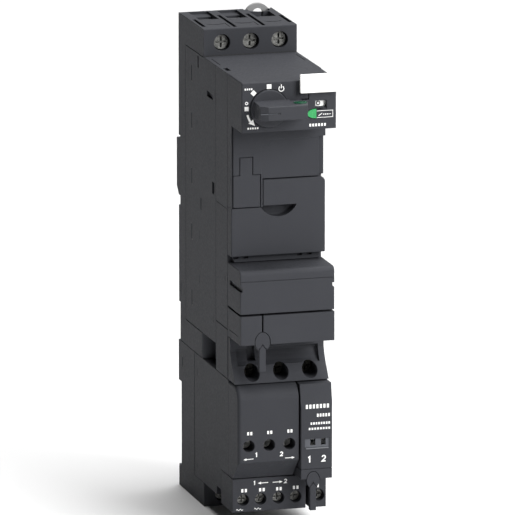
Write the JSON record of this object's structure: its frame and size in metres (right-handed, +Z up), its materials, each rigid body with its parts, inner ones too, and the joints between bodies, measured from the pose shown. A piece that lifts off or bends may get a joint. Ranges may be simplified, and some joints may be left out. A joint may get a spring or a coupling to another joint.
{
  "type": "motor protection breaker",
  "caption": "Tall narrow motor starter with a line terminal block on top, a rotary switch knob, stacked plug-in modules and a reverser block with control terminals below.",
  "frame": {"origin": "back plane at the centre line of the 35 mm mounting rail, middle of the width", "axes": "+X to the right seen from the front, -Y out of the front, +Z up"},
  "size_m": [0.045, 0.1256, 0.2309],
  "materials": {
    "moulded_black": "fine moulded texture",
    "module_black": "fine moulded texture",
    "knob_black": "fine moulded texture",
    "terminal_steel": "zinc plated",
    "zinc_steel": "zinc plated",
    "bus_copper": "bright copper strip",
    "winding_copper": "enamelled wire",
    "core_steel": "bare steel laminations",
    "mechanism_white": "natural nylon",
    "lens_green": "translucent green",
    "inlay_green": "dark translucent green",
    "marker_white": "smooth white",
    "window_clear": "clear",
    "board_green": "solder mask",
    "lug_grey": "light grey"
  },
  "bodies": {
    "base": {"arc_chutes": "zinc_steel", "control_terminal_block": "moulded_black", "control_terminal_screws": "terminal_steel", "front_cover": "moulded_black", "front_housing": "moulded_black", "housing_screws": "zinc_steel", "indicator_lens": "lens_green", "line_clamps": "zinc_steel", "line_contacts": "bus_copper", "line_screws": "terminal_steel", "link_bars": "bus_copper", "load_bars": "bus_copper", "load_clamps": "zinc_steel", "load_contacts": "bus_copper", "load_screws": "terminal_steel", "load_terminal_housing": "moulded_black", "magnet_core": "core_steel", "main_coil": "winding_copper", "marker_tag": "marker_white", "mechanism_frame": "zinc_steel", "mechanism_housing": "moulded_black", "module_cradle": "moulded_black", "output_bars": "bus_copper", "output_clamps": "zinc_steel", "output_screws": "terminal_steel", "rear_housing": "moulded_black", "reverser_base": "moulded_black", "reverser_coils": "winding_copper", "reverser_cores": "core_steel", "reverser_cover": "moulded_black", "reverser_cover_screws": "terminal_steel", "reverser_housing": "moulded_black", "trip_coils": "winding_copper"},
    "knob_assembly": {"knob": "knob_black", "knob_inlay": "inlay_green", "knob_spindle": "mechanism_white"},
    "indicator_drum": {"indicator_drum": "marker_white"},
    "contact_assembly": {"contact_carrier": "mechanism_white", "contact_bridges": "bus_copper", "contact_springs": "zinc_steel", "armature": "core_steel"},
    "trip_plungers": {"trip_plungers": "core_steel"},
    "trip_bar": {"trip_bar": "mechanism_white"},
    "control_unit": {"control_unit": "module_black", "control_board": "board_green"},
    "side_connector": {"side_connector": "module_black"},
    "function_module": {"function_module": "module_black"},
    "connector_block": {"connector_left": "module_black", "connector_right": "module_black"},
    "connector_key": {"connector_key": "module_black"},
    "reverser_module": {"reverser_module": "module_black", "module_window": "window_clear"},
    "module_key": {"module_key": "module_black"},
    "direction_flag_1": {"direction_flag_1": "marker_white"},
    "direction_flag_2": {"direction_flag_2": "marker_white"},
    "interlock_rocker": {"interlock_rocker": "mechanism_white"},
    "reverser_armature_1": {"reverser_armature_1": "core_steel"},
    "reverser_armature_2": {"reverser_armature_2": "core_steel"},
    "rail_clip": {"rail_clip": "zinc_steel"},
    "mounting_lug": {"mounting_lug": "lug_grey"}
  },
  "joints": [
    {"name": "knob_turn", "type": "hinge", "parent": "base", "child": "knob_assembly", "pos_m": [-0.0096, -0.115, 0.0491], "axis": [0, 1, 0], "range_deg": [-45, 90]},
    {"name": "drum_turn", "type": "hinge", "parent": "base", "child": "indicator_drum", "pos_m": [0.0152, -0.1032, 0.0501], "axis": [0, 0, 1], "range_deg": [-45, 90]},
    {"name": "contact_close", "type": "slide", "parent": "base", "child": "contact_assembly", "axis": [0, 1, 0], "range_m": [0, 0.002], "stiffness_N_per_m": 400, "springref_m": -0.001},
    {"name": "trip_plunger_slide", "type": "slide", "parent": "base", "child": "trip_plungers", "axis": [0, -1, 0], "range_m": [0, 0.0025], "stiffness_N_per_m": 200, "springref_m": -0.001},
    {"name": "trip_bar_turn", "type": "hinge", "parent": "base", "child": "trip_bar", "pos_m": [0, -0.053, -0.0338], "axis": [-1, 0, 0], "range_deg": [0, 8], "stiffness_Nm_per_rad": 0.02, "springref_deg": -2.86},
    {"name": "control_unit_slide", "type": "slide", "parent": "base", "child": "control_unit", "axis": [0, -1, 0], "range_m": [0, 0.018]},
    {"name": "side_connector_slide", "type": "slide", "parent": "base", "child": "side_connector", "axis": [0, -1, 0], "range_m": [0, 0.012]},
    {"name": "function_module_slide", "type": "slide", "parent": "base", "child": "function_module", "axis": [0, -1, 0], "range_m": [0, 0.016]},
    {"name": "connector_block_slide", "type": "slide", "parent": "base", "child": "connector_block", "axis": [0, -1, 0], "range_m": [0, 0.015]},
    {"name": "connector_key_slide", "type": "slide", "parent": "connector_block", "child": "connector_key", "axis": [0, 0, -1], "range_m": [0, 0.003], "stiffness_N_per_m": 60, "springref_m": -0.001},
    {"name": "reverser_module_slide", "type": "slide", "parent": "base", "child": "reverser_module", "axis": [0, -1, 0], "range_m": [0, 0.015]},
    {"name": "module_key_slide", "type": "slide", "parent": "reverser_module", "child": "module_key", "axis": [0, 0, -1], "range_m": [0, 0.003], "stiffness_N_per_m": 60, "springref_m": -0.001},
    {"name": "reverser_armature_1_slide", "type": "slide", "parent": "base", "child": "reverser_armature_1", "axis": [0, 1, 0], "range_m": [-0.00107, 0.00107]},
    {"name": "reverser_armature_2_slide", "type": "slide", "parent": "base", "child": "reverser_armature_2", "axis": [0, 1, 0], "range_m": [-0.00107, 0.00107]},
    {"name": "interlock_turn", "type": "hinge", "parent": "base", "child": "interlock_rocker", "pos_m": [0, -0.052, -0.1128], "axis": [0, 0, 1], "range_deg": [-6, 6]},
    {"name": "direction_flag_1_slide", "type": "slide", "parent": "reverser_module", "child": "direction_flag_1", "axis": [0, 0, 1], "range_m": [-0.004, 0.004]},
    {"name": "direction_flag_2_slide", "type": "slide", "parent": "reverser_module", "child": "direction_flag_2", "axis": [0, 0, 1], "range_m": [-0.004, 0.004]},
    {"name": "rail_clip_slide", "type": "slide", "parent": "base", "child": "rail_clip", "axis": [0, 0, -1], "range_m": [0, 0.0025], "stiffness_N_per_m": 400, "springref_m": -0.001},
    {"name": "mounting_lug_slide", "type": "slide", "parent": "base", "child": "mounting_lug", "axis": [0, 0, 1], "range_m": [0, 0.006]}
  ],
  "couplings": [
    {"joint": "drum_turn", "follows": "knob_turn", "ratio": 1},
    {"joint": "interlock_turn", "follows": "reverser_armature_1_slide", "rad_per_m": -97.5},
    {"joint": "reverser_armature_2_slide", "follows": "reverser_armature_1_slide", "ratio": -1},
    {"joint": "direction_flag_1_slide", "follows": "reverser_armature_1_slide", "ratio": -3.7},
    {"joint": "direction_flag_2_slide", "follows": "reverser_armature_1_slide", "ratio": 3.7}
  ]
}
